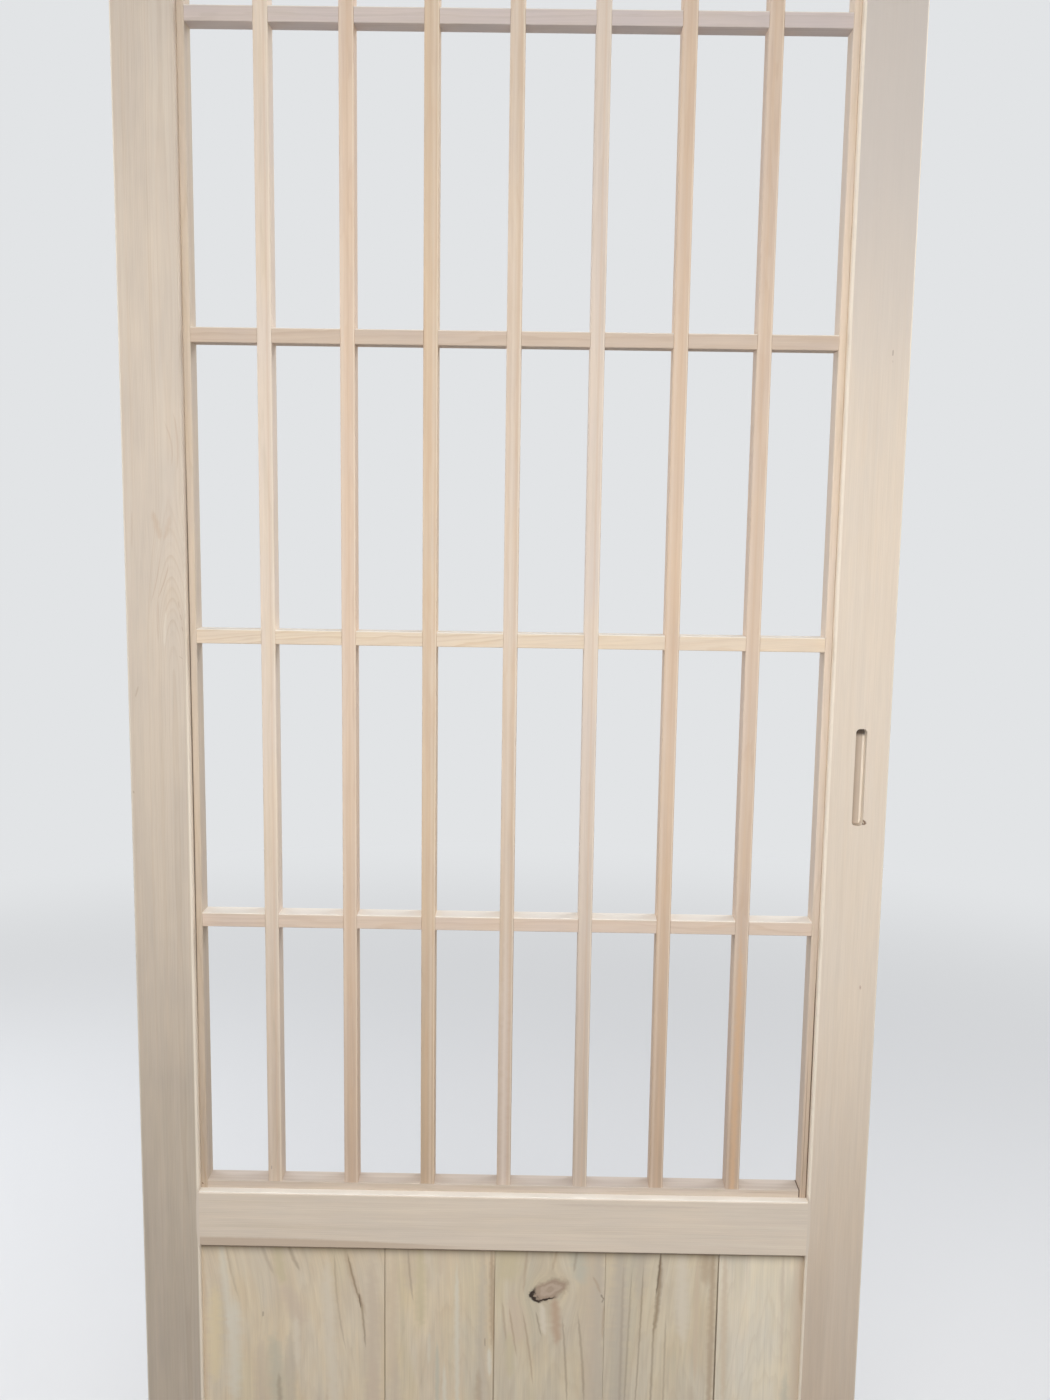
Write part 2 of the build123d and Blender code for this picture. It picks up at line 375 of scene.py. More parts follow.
planedWood = {
    "colour": (226, 210, 194),
    "dark": (210, 190, 168),    # the broad darker bands
    "pale": (234, 221, 206),    # the broad paler bands
    "lateWood": (200, 176, 152),
    "runs": "up",               # the way the grain runs: up or across the leaf
    "pith": (-0.08, 0.06),      # m from the middle of the piece, across and in depth
    "tilt": 0.0,                # how far the grain leans across, in its own length
    "ringWidth": 0.0022,        # m
    "rise": (0.0, 0.3, 0.0),    # amount, length and centre of a stretch of arched grain, in m
    "wander": 0.006,            # m
    "ripple": 0.8,              # in rings
    # layers of drawn out noise: width in m, and how many times longer they are along the grain
    "fibre": (0.0011, 45.0),
    "streak": (0.005, 26.0),
    "figure": (0.012, 14.0),
    "patch": (0.03, 3.0),
    "figureShare": 0.5,         # the rest of the broad tone follows the rings
    "bandShow": 0.55,
    "ringShow": 0.3,
    "fibreShow": 0.06,
    "streakShow": 0.07,
    "mottle": (0.05, (255, 253, 247)),      # patches: how much lighter or darker, and their tint
    "endGrain": (0.82, 0.5),    # its tone as a share of the late wood's, and how strongly it shows
    "roughness": 0.57,
    "specular": 0.35,
    "bump": 0.00012,            # m
    "marks": [],
}

# for each layer of noise, its detail and a shift, so that no layer lies on another
noiseLayers = {"fibre": (3.0, 3.0), "streak": (3.0, 7.0), "figure": (3.0, 11.0), "patch": (2.0, 17.0)}


def addMarks(tree, colour, across, along, marks, up):
    # each mark: one end and the other as (x, z), width, colour, how strongly it shows, and options
    for start, end, width, tint, show, *extra in marks:
        options = extra[0] if extra else {}
        if not up:
            start, end = start[::-1], end[::-1]
        length = end[1] - start[1]
        mask = useGroup(tree, taperedStreak, {
            "Across": across,
            "Along": along,
            "Centre Across": (start[0] + end[0]) / 2,
            "Centre Along": (start[1] + end[1]) / 2,
            "Half Length": abs(length) / 2,
            "Half Width": width / 2,
            "Lean": (end[0] - start[0]) / length,
            "Bow": options.get("bow", 0.0),
            "Softness": options.get("soft", 1.0),
            "Raggedness": options.get("ragged", 0.5),
            "End Fade": options.get("fade", 0.8),
        })["Mask"]
        colour = blend(tree, times(tree, mask, show), colour, linear(tint))
    return colour


def placeKnot(tree, across, along, knot):
    return useGroup(tree, knotGroup, {
        "Across": across,
        "Along": along,
        "Centre Across": knot["at"][0],
        "Centre Along": knot["at"][1],
        "Half Width": knot["size"][0] / 2,
        "Half Height": knot["size"][1] / 2,
        "Turn": math.radians(knot["turn"]),
        "Push": knot["push"],
    })


def addKnot(tree, colour, parts, knot):
    heart = blend(tree, parts["Rings"], linear(knot["heart"]), linear(knot["heartRing"]))
    colour = blend(tree, times(tree, parts["Heart"], knot["heartShow"]), colour, heart)
    colour = blend(tree, times(tree, parts["Rim"], knot["rimShow"]), colour, linear(knot["rim"]))
    return blend(tree, parts["Dark End"], colour, linear(knot["darkEnd"]))


def addFoot(tree, colour, height, foot, figure):
    # darker and a little greyer towards the floor, in full below a quarter of its top, and uneven as the
    # figure is
    top, tint, show = foot
    low = ease(tree, height, 0.25 * top, top, show, 0.0)
    low = times(tree, low, maths(tree, "MULTIPLY_ADD", figure, 0.6, 0.7))
    return blend(tree, low, colour, linear(tint), "MULTIPLY")


def addRailShadow(tree, colour, height, shade):
    # painted shadow that the rail above casts on a board, darkest just under it
    under, depth, tint, show = shade
    corner = maths(tree, "DIVIDE", minus(tree, height, under - depth), depth, clamp=True)
    corner = times(tree, maths(tree, "POWER", corner, 3.0), show)
    return blend(tree, corner, colour, linear(tint), "MULTIPLY")


def within(tree, value, limit, fade):
    # 1 up to the limit on both sides of zero, then fading out
    return ease(tree, maths(tree, "ABSOLUTE", value), limit, limit + fade, 1.0, 0.0)


def addRecess(tree, colour, at, recess):
    side, rise = minus(tree, at["X"], recess["at"][0]), minus(tree, at["Z"], recess["at"][1])
    halfWidth, halfHeight = recess["reach"]
    cut = times(tree, within(tree, side, halfWidth, 0.0003), within(tree, rise, halfHeight, 0.0003),
                within(tree, at["Y"], recess["mouth"], 0.0007))
    # painted light: the whole recess is made pale, to brighten its walls
    colour = blend(tree, times(tree, cut, recess["show"]), colour, linear(recess["colour"]))
    # painted shade on its floor, most of it up and to the left, and an unshaded strip along its right side
    floor = times(tree, cut, within(tree, at["Y"], recess["floor"], 0.0013))
    left, right = recess["grimeShow"]
    grime = times(tree, floor, ease(tree, side, -0.004, 0.002, left, right))
    grime = times(tree, grime, ease(tree, side, *recess["cleanStrip"], 1.0, 0.0))
    colour = blend(tree, grime, colour, linear(recess["grime"]))
    # painted shadow across the top of its floor, under its upper edge
    darkest = times(tree, floor, ease(tree, rise, *recess["darkestFrom"], 0.0, recess["darkestShow"]))
    return blend(tree, darkest, colour, linear(recess["darkest"]))


def addEndGrain(tree, colour, facing, wood):
    # end grain drinks more light
    share, show = wood["endGrain"]
    cutAcross = ease(tree, maths(tree, "ABSOLUTE", facing), 0.6, 0.95, 0.0, show)
    return blend(tree, cutAcross, colour, linear([c * share for c in wood["lateWood"]]))


def grainPosition(tree, wood, across, depth, along, alongMiddle, knotParts):
    # where a point lies in the grain, once its leaning and bending are taken out
    if wood["tilt"]:
        across = minus(tree, across, times(tree, minus(tree, along, alongMiddle), wood["tilt"]))
    if "flow" in wood:
        lean, decay, top = wood["flow"]
        fall = maths(tree, "DIVIDE", minus(tree, along, top), decay)
        drop = minus(tree, 1.0, maths(tree, "EXPONENT", maths(tree, "MINIMUM", fall, 0.0)))
        across = minus(tree, across, times(tree, drop, lean * decay))
    if knotParts:
        across = minus(tree, across, knotParts["Bend"])
    return join(tree, across, depth, along)


def addLayers(tree, wood, position, seed):
    layers = {}
    for layer, (detail, shift) in noiseLayers.items():
        width, drawnOut = wood[layer]
        layers[layer] = useGroup(tree, drawnNoise, {
            "Position": position,
            "Width": width,
            "Drawn Out": drawnOut,
            "Detail": detail,
            "Seed": seed + shift,
        })["Tone"]
    return layers


def broadTone(tree, wood, broad):
    # a board runs through its own row of tones, other woods have paler and darker bands
    if "tones" in wood:
        bands = addNode(tree, "ValToRGB", {0: broad})
        stops = bands.color_ramp.elements
        for index, (stopAt, tint) in enumerate(wood["tones"]):
            stop = stops[index] if index < 2 else stops.new(stopAt)
            stop.position, stop.color = stopAt, linear(tint)
        return blend(tree, wood["figureShow"], linear(wood["colour"]), bands.outputs[0])
    pale = ease(tree, broad, 0.55, 0.95, 0.0, wood["bandShow"])
    dark = ease(tree, broad, 0.05, 0.45, wood["bandShow"], 0.0)
    colour = blend(tree, pale, linear(wood["colour"]), linear(wood["pale"]))
    return blend(tree, dark, colour, linear(wood["dark"]))


def grainedColour(tree, wood, rings, layers):
    # broad tones, ring lines, then fine streaks and patches
    share = wood["figureShare"]
    broad = plus(tree, times(tree, layers["figure"], share), times(tree, rings["Ring Tone"], 1 - share))
    colour = broadTone(tree, wood, broad)
    lateWood = times(tree, rings["Late Wood"], wood["ringShow"])
    colour = blend(tree, lateWood, colour, linear(wood["lateWood"]))
    patchShow, patchTint = wood["mottle"]
    shows = {"fibre": wood["fibreShow"], "streak": wood["streakShow"], "patch": patchShow}
    parts = [times(tree, minus(tree, layers[layer], 0.5), show) for layer, show in shows.items()]
    tone = plus(tree, *parts, 1.0)
    colour = blend(tree, 1.0, colour, join(tree, tone, tone, tone), "MULTIPLY")
    return blend(tree, layers["patch"], colour, linear(patchTint), "MULTIPLY")


def woodMaterial(name, wood, seed):
    material = bpy.data.materials.new(name + "Wood")
    material.use_nodes = True
    tree = material.node_tree
    tree.nodes.clear()
    place = addNode(tree, "TexCoord").outputs
    at = split(tree, place["Object"])
    up = wood["runs"] == "up"
    across, along = (at["X"], at["Z"]) if up else (at["Z"], at["X"])
    middle = [(low + high) / 2 for low, high in zip(*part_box(name))]
    acrossMiddle, alongMiddle = (middle[0], middle[2]) if up else (middle[2], middle[0])

    knotParts = placeKnot(tree, across, along, wood["knot"]) if "knot" in wood else None
    position = grainPosition(tree, wood, across, at["Y"], along, alongMiddle, knotParts)
    rise, riseLength, riseCentre = wood["rise"]
    rings = useGroup(tree, growthRings, {
        "Position": position,
        "Pith Across": acrossMiddle + wood["pith"][0],
        "Pith Depth": middle[1] + wood["pith"][1],
        "Ring Width": wood["ringWidth"],
        "Rise": rise,
        "Rise Length": riseLength,
        "Rise Centre": riseCentre,
        "Wander": wood["wander"],
        "Ripple": wood["ripple"],
        "Seed": seed,
    })
    layers = addLayers(tree, wood, position, seed)

    colour = grainedColour(tree, wood, rings, layers)
    if "foot" in wood:
        colour = addFoot(tree, colour, at["Z"], wood["foot"], layers["figure"])
    colour = addMarks(tree, colour, across, along, wood["marks"], up)
    if "shade" in wood:
        colour = addRailShadow(tree, colour, at["Z"], wood["shade"])
    if knotParts:
        colour = addKnot(tree, colour, knotParts, wood["knot"])
    if "recess" in wood:
        colour = addRecess(tree, colour, at, wood["recess"])
    facing = split(tree, place["Normal"])["Z" if up else "X"]
    colour = addEndGrain(tree, colour, facing, wood)

    relief = maths(tree, "MULTIPLY_ADD", rings["Late Wood"], 0.6, layers["fibre"])
    bump = addNode(tree, "Bump", {"Strength": 0.5, "Distance": wood["bump"], "Height": relief})
    # late wood is a little smoother, and the fibres are a little rougher
    smoother, rougher = times(tree, rings["Late Wood"], -0.08), times(tree, layers["fibre"], 0.1)
    surface = addNode(tree, "BsdfPrincipled", {
        "Base Color": colour,
        "Roughness": plus(tree, smoother, rougher, wood["roughness"]),
        "Specular IOR Level": wood["specular"],
        "Normal": bump.outputs[0],
    })
    addNode(tree, "OutputMaterial", {"Surface": surface.outputs[0]})
    return material


def dress(name, wood, seed):
    material = woodMaterial(name, wood, seed)
    for slot in nodes[name].material_slots:
        slot.material = material


def shifted(colour, amount):
    return tuple(min(255, c + a) for c, a in zip(colour, amount))


def woodTones(colour, warmth=1.0):
    # a middle colour with bands and late wood to go with it
    return {
        "colour": colour,
        "dark": shifted(colour, (-8, -12 * warmth, -17 * warmth)),
        "pale": shifted(colour, (6, 8, 8)),
        "lateWood": shifted(colour, (-20, -28 * warmth, -36 * warmth)),
    }


# stiles

arrisHighlight = (254, 243, 226)      # painted highlight along arrises, where the light catches them
jointWood = (226, 213, 198)     # plain wood on an inner arris, where the mid rail meets it
stileInner, stileOuter = (corner[0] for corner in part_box("right_stile"))
midRailFoot, midRailTop = (corner[2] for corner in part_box("mid_rail"))


def stileHighlights(side, inner, outer):
    # side is -1 or 1; each arris gets a painted highlight: how high and how low it reaches, width, how
    # strongly it shows;
    # the plain wood of the joint reaches a little past the mid rail, above and below, and covers the
    # painted highlight there
    innerX, outerX = side * (stileInner + 0.0003), side * (stileOuter - 0.0002)
    innerTop, innerFoot, innerWidth, innerShow = inner
    outerTop, outerFoot, outerWidth, outerShow = outer
    return [
        ((innerX, innerTop), (innerX, innerFoot), innerWidth, arrisHighlight, innerShow,
         {"soft": 0.5, "ragged": 0.0}),
        ((innerX, midRailTop + 0.012), (innerX, midRailFoot - 0.0105), 0.0080, jointWood, 1.0,
         {"soft": 0.4, "ragged": 0.0, "fade": 0.35}),
        ((outerX, outerTop), (outerX, outerFoot), outerWidth, arrisHighlight, outerShow,
         {"soft": 0.6, "ragged": 0.0}),
    ]


leftStile = dict(
    planedWood, **woodTones((222, 209, 195)),
    pith=(0.0175, 0.002),
    ringWidth=0.0012,
    ringShow=0.34,
    rise=(0.0149, 0.20, 1.15),
    wander=0.003,
    ripple=0.5,
    figure=(0.016, 14.0),
    mottle=(0.09, (255, 254, 251)),
    streakShow=0.05,
    bandShow=0.45,
    foot=(1.25, (226, 225, 222), 0.9),
    marks=[
        # the arms of the arched grain, and the smudge above its tip
        ((-0.3790, 1.2300), (-0.3700, 1.1930), 0.011, (205, 178, 152), 0.4),
        ((-0.3585, 1.2260), (-0.3680, 1.1930), 0.009, (205, 178, 152), 0.28),
        ((-0.3602, 1.1751), (-0.3756, 1.1300), 0.0022, (196, 168, 142), 0.5, {"bow": -0.002}),
        ((-0.3748, 1.1400), (-0.3763, 1.0836), 0.0022, (196, 168, 142), 0.45),
        ((-0.3689, 1.1863), (-0.3826, 1.1245), 0.0020, (198, 170, 144), 0.4, {"bow": -0.002}),
        ((-0.3667, 1.1263), (-0.3699, 1.0787), 0.005, (236, 226, 212), 0.6),
        ((-0.4001, 1.2324), (-0.4015, 1.1826), 0.002, (190, 166, 144), 0.4),
        ((-0.3980, 1.0419), (-0.4025, 1.0269), 0.003, (180, 156, 132), 0.4),
        # nicks and dashes
        ((-0.3538, 1.1330), (-0.3525, 1.1240), 0.0016, (184, 158, 134), 0.5),
        ((-0.3520, 1.1190), (-0.3500, 1.1110), 0.0016, (184, 158, 134), 0.5),
        ((-0.3505, 1.1060), (-0.3489, 1.0990), 0.0016, (184, 158, 134), 0.5),
        ((-0.3544, 1.0738), (-0.3495, 1.0700), 0.0018, (168, 146, 124), 0.5),
        ((-0.4069, 0.9262), (-0.4066, 0.9222), 0.0022, (170, 148, 128), 0.6),
        ((-0.352, 1.335), (-0.349, 1.262), 0.0034, (206, 184, 162), 0.5, {"bow": -0.004}),
        ((-0.361, 1.325), (-0.353, 1.268), 0.0030, (206, 184, 162), 0.45, {"bow": -0.006}),
    # painted highlights along its arrises
    ] + stileHighlights(-1, (1.34, -0.6, 0.0056, 0.8), (2.8, -0.7, 0.0044, 0.7)),
)
rightStile = dict(
    planedWood, **woodTones((231, 218, 203)),
    mottle=(0.03, (255, 253, 250)),
    pith=(-0.14, 0.05),
    ringWidth=0.0014,
    ringShow=0.09,
    bandShow=0.22,
    streakShow=0.045,
    figure=(0.016, 14.0),
    foot=(0.8, (236, 231, 226), 0.9),
    recess={
        "at": (0.379, 0.9525),
        "reach": (0.0061, 0.0534),              # m, half its width and height and a little more
        "mouth": 0.0171,                        # m from the middle plane, just inside the face
        "floor": 0.0062,                        # m from the middle plane, just above its floor
        # painted light: the pale colour that brightens its walls
        "colour": (255, 247, 235),
        "show": 0.95,
        # painted shade on its floor
        "grime": (140, 110, 84),
        "grimeShow": (0.72, 0.5),               # on its left and towards its right
        "cleanStrip": (0.0032, 0.0046),         # m right of its middle, where the painted shade ends
        # painted shadow across the top of its floor
        "darkest": (58, 44, 34),
        "darkestShow": 0.92,
        "darkestFrom": (0.0425, 0.0475),        # m above its middle
    },
    marks=[
        # painted shade: greyer and darker towards its head
        ((0.378, 3.1), (0.378, 1.20), 0.16, (210, 203, 198), 0.75, {"soft": 0.3, "ragged": 0.0}),
        ((0.3911, 1.4030), (0.3913, 1.3950), 0.0018, (150, 128, 116), 0.8),
        ((0.3914, 1.3920), (0.3915, 1.3890), 0.0012, (176, 156, 142), 0.5),
        ((0.3915, 0.7200), (0.3915, 0.7138), 0.0036, (196, 168, 152), 0.7),
        ((0.3916, 0.7178), (0.3916, 0.7160), 0.0014, (150, 124, 112), 0.5),
        # chipped corner of the recess, its hollow painted dark as shade, and a pale fleck
        ((0.3822, 0.9080), (0.3868, 0.8996), 0.0080, (112, 82, 58), 0.95, {"soft": 0.6, "ragged": 1.6}),
        ((0.3846, 0.9048), (0.3862, 0.9016), 0.0020, (238, 224, 204), 0.8, {"soft": 0.6}),
    # painted highlights along its arrises
    ] + stileHighlights(1, (2.8, -0.7, 0.0050, 0.9), (2.8, -0.7, 0.0040, 0.8)),
)
dress("left_stile", leftStile, seed=1.3)
dress("right_stile", rightStile, seed=4.1)
print("stiles dressed")


# rails

topRail = dict(planedWood, **woodTones((226, 211, 196)), runs="across", figure=(0.016, 14.0))
midRail = dict(
    planedWood, **woodTones((230, 217, 202), 0.7),
    mottle=(0.04, (255, 253, 250)),
    runs="across",
    pith=(-0.16, 0.05),
    figure=(0.018, 14.0),
    ringShow=0.14,
    marks=[
        # darker along its lower edge, a band which runs out to the right
        ((-0.95, midRailFoot), (0.060, midRailFoot), 0.0270, (200, 179, 158), 0.7,
         {"soft": 0.3, "ragged": 0.06}),
        # painted highlight on its upper arris and top face
        ((-0.90, midRailTop + 0.0008), (0.90, midRailTop + 0.0008), 0.0034, (255, 250, 240), 0.9,
         {"soft": 0.4, "ragged": 0.0}),
        ((0.03, 0.4545), (0.26, 0.4535), 0.0060, (214, 199, 184), 0.6),
    ],
)
bottomRail = dict(planedWood, **woodTones((226, 211, 195)), runs="across", figure=(0.018, 14.0))
dress("top_rail", topRail, seed=7.7)
dress("mid_rail", midRail, seed=9.2)
dress("bottom_rail", bottomRail, seed=12.6)
print("rails dressed")


# lattice

slimWood = dict(
    planedWood,
    ringWidth=0.0034,
    wander=0.012,
    ripple=1.6,
    figure=(0.005, 30.0),
    pith=(-0.02, 0.03),
    bandShow=0.5,
    streakShow=0.06,
    foot=(1.1, (220, 214, 209), 0.9),
)

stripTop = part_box("lattice_frame_bottom")[1][2]
thinFrame = {
    "lattice_frame_left": dict(
        slimWood, **woodTones((218, 203, 187), 0.8),
        marks=[
            # the gap between strip and stile, darkened with painted shade
            ((-0.3452, 1.38), (-0.3452, 0.56), 0.0026, (84, 64, 50), 0.85, {"soft": 0.6, "ragged": 0.0}),
            ((-0.3443, 0.4683), (-0.3430, 0.4655), 0.0022, (120, 96, 80), 0.85, {"soft": 0.6}),
            ((-0.3440, 0.50), (-0.3385, 0.465), 0.0016, (196, 166, 138), 0.6),
            ((-0.3425, 0.53), (-0.3400, 0.475), 0.0014, (196, 168, 142), 0.5),
        ],
    ),
    "lattice_frame_right": dict(
        slimWood, **woodTones((229, 213, 198), 0.7),
        marks=[
            ((0.3405, 0.66), (0.3400, 0.400), 0.0014, (140, 112, 92), 0.6),
            # the gap between strip and stile, darkened with painted shade
            ((0.3450, 0.80), (0.3450, 0.300), 0.0022, (92, 70, 54), 0.8, {"soft": 0.6, "ragged": 0.0}),
        ],
    ),
    "lattice_frame_bottom": dict(
        slimWood, **woodTones((231, 220, 210), 0.6), runs="across",
        marks=[
            # a painted highlight on its upper face, and the joint with the right strip
            ((-0.9, stripTop), (0.9, stripTop), 0.0024, (250, 239, 228), 0.1, {"ragged": 0.0}),
            ((0.3360, 0.470), (0.3388, 0.470), 0.040, (92, 70, 56), 0.9,
             {"soft": 0.3, "ragged": 0.0, "fade": 0.3}),
            ((0.26, 0.4678), (0.3375, 0.4672), 0.0012, (168, 144, 124), 0.6),
        ],
    ),
    "lattice_frame_top": dict(slimWood, **woodTones((224, 209, 194)), runs="across"),
}
for index, (name, wood) in enumerate(thinFrame.items()):
    dress(name, wood, seed=15.0 + 2.9 * index)

uprightBars = [
    # middle colour, warmth of its bands, and its pale and its tan stripe, in m from its middle
    ((238, 222, 207), 0.7, -0.004, 0.003),
    ((231, 208, 188), 1.0, -0.0055, 0.0005),
    ((226, 205, 182), 1.3, 0.003, -0.002),
    ((228, 211, 195), 1.0, -0.001, 0.004),
    ((227, 212, 200), 0.8, -0.0045, 0.002),
    ((224, 201, 180), 1.1, -0.005, 0.001),
    ((221, 200, 182), 1.1, -0.006, -0.001),
]
barStripes = {
    # width, colour, how strongly it shows
    # painted highlight by its right arris
    "arris": (0.0015, arrisHighlight, 0.5),
    "pale": (0.0052, (240, 226, 212), 0.3),
    "tan": (0.0040, (214, 184, 154), 0.28),
}
barHighlightPlace = 0.0065       # m from the middle of a bar to the painted highlight by its right arris
uprightMarks = {
    0: [((-0.2644, 0.4905), (-0.2646, 0.4845), 0.0016, (120, 98, 90), 0.8)],
    3: [((0.0, 0.82), (0.0, 0.25), 0.018, (224, 209, 199), 0.6)],
    6: [((0.2600, 0.80), (0.2605, 0.40), 0.014, (220, 184, 148), 0.75)],
}
for index, (colour, warmth, palePlace, tanPlace) in enumerate(uprightBars):
    name = f"upright_bar_{index + 1}"
    low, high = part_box(name)
    middle = (low[0] + high[0]) / 2
    wood = dict(slimWood, **woodTones(colour, warmth))
    # each bar is cut from another part of the log
    wood["pith"] = (-0.014 + 0.005 * (index * 5 % 7), 0.022 + 0.004 * (index % 3))
    # soft stripes run along it, longer than the bar itself: the painted highlight, then a pale and a tan
    # stripe of its grain
    places = [middle + place for place in (barHighlightPlace, palePlace, tanPlace)]
    wood["marks"] = uprightMarks.get(index, []) + [
        ((place, 2.9), (place, -0.8), *stripe, {"ragged": 0.3})
        for place, stripe in zip(places, barStripes.values())]
    dress(name, wood, seed=30.0 + 1.9 * index)

crossBars = [
    # middle colour, warmth of its bands, tilt of the grain, how plain the rings are
    ((234, 216, 202), 1.0, 0.01, 0.3),
    ((236, 219, 199), 1.0, 0.07, 0.55),
    ((214, 196, 181), 1.0, 0.02, 0.3),
    ((216, 204, 201), 0.7, 0.01, 0.3),
]
for index, (colour, warmth, tilt, ringShow) in enumerate(crossBars):
    name = f"cross_bar_{index + 1}"
    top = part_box(name)[1][2]
    wood = dict(slimWood, **woodTones(colour, warmth), runs="across")
    wood.update(tilt=tilt, ringShow=ringShow)
    # a painted highlight on its top face and upper arris
    wood["marks"] = [((-0.9, top), (0.9, top), 0.0032, (255, 249, 238), 0.85, {"ragged": 0.0})]
    dress(name, wood, seed=50.0 + 2.3 * index)
print("lattice dressed")


# panel boards

tints = {
    "base": (232, 218, 196),
    "cream": (233, 222, 204),
    "pale": (234, 228, 213),
    "yellow": (238, 221, 186),
    "shadeGrey": (202, 192, 178),
    "tan": (221, 203, 179),
    "pink": (220, 202, 182),
    "olive": (216, 203, 171),
    "greyGreen": (210, 202, 182),
    "blueGrey": (208, 203, 187),
    "greyTan": (216, 200, 180),
    "heartShade": (200, 174, 150),
    "brown": (184, 159, 131),
    "dark": (152, 130, 106),
    "darkest": (108, 88, 68),
}


boardTop = midRailFoot + 0.0005     # m, just above the mid rail's lower edge


def board(tones, marks, **more):
    # flow, where it is given: how far the grain leans at its top, over what drop it straightens,
    # and how high its top is
    wood = dict(
        planedWood,
        colour=tints["base"],
        tones=[(place, tints[tint]) for place, tint in tones],
        figureShow=0.38,
        lateWood=tints["brown"],
        ringWidth=0.0045,
        ringShow=0.10,
        rise=(0.02, 0.3, 0.25),
        pith=(0.01, 0.06),
        wander=0.01,
        ripple=1.6,
        figure=(0.042, 4.5),
        figureShare=0.95,
        fibreShow=0.08,
        streakShow=0.10,
        mottle=(0.09, (255, 251, 241)),
        # painted shadow of the mid rail across the top of the board
        shade=(midRailFoot - 0.0035, 0.016, (108, 96, 84), 0.9),
        marks=[(start, end, width, tints[tint], *rest) for start, end, width, tint, *rest in marks],
    )
    wood.update(more)
    return wood


